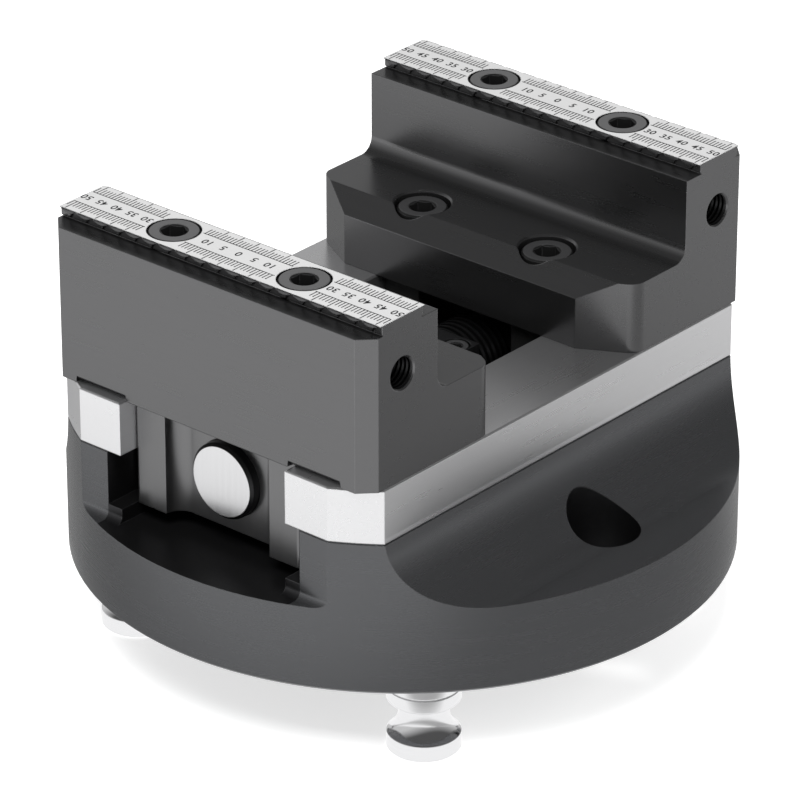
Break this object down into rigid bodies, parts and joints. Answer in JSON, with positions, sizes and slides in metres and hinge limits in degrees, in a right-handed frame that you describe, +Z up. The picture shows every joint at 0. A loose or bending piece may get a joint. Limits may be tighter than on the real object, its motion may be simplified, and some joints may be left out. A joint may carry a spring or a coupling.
{
  "type": "self centering vise",
  "caption": "Self centering vise: round T-slot base with ground rails, toothed step jaws drawn together by a left- and right-hand spindle, pull studs below.",
  "frame": {"origin": "centre line of the round base, level with the feet of the pull studs", "axes": "+X along the jaw travel towards the drive end, +Y across the jaws, +Z up"},
  "size_m": [0.17, 0.17, 0.1228],
  "materials": {
    "black_oxide_body": "black oxide, ground on the rail band",
    "black_carriage": "black oxide",
    "jaw_steel": "dark ground steel, bright ridge tops",
    "bright_steel": "ground",
    "bearing_steel": "ground",
    "black_bolt": "black oxide"
  },
  "bodies": {
    "base": {"base_body": "black_oxide_body", "bearing_block": "bearing_steel", "bearing_cap": "bearing_steel", "bearing_cap_screws": "black_bolt", "bearing_base_screws": "black_bolt", "bearing_dowels": "bright_steel", "pull_stud_near_left": "bright_steel", "pull_stud_near_right": "bright_steel", "pull_stud_far_left": "bright_steel", "pull_stud_far_right": "bright_steel"},
    "spindle": {"spindle": "bright_steel"},
    "near_slide": {"near_carriage": "black_carriage", "near_jaw": "jaw_steel", "near_jaw_key": "bright_steel", "near_wall_bolts": "black_bolt", "near_step_bolts": "black_bolt"},
    "far_slide": {"far_carriage": "black_carriage", "far_jaw": "jaw_steel", "far_jaw_key": "bright_steel", "far_wall_bolts": "black_bolt", "far_step_bolts": "black_bolt"}
  },
  "joints": [
    {"name": "spindle_turn", "type": "hinge", "parent": "base", "child": "spindle", "pos_m": [0, 0, 0.0642], "axis": [-1, 0, 0], "range_deg": [-910, 3790]},
    {"name": "near_jaw_slide", "type": "slide", "parent": "base", "child": "near_slide", "axis": [1, 0, 0], "range_m": [-0.005, 0.021]},
    {"name": "far_jaw_slide", "type": "slide", "parent": "base", "child": "far_slide", "axis": [-1, 0, 0], "range_m": [-0.0055, 0.0215]}
  ],
  "couplings": [
    {"joint": "far_jaw_slide", "follows": "near_jaw_slide", "ratio": 1},
    {"joint": "spindle_turn", "follows": "near_jaw_slide", "rad_per_m": 3141.6}
  ]
}
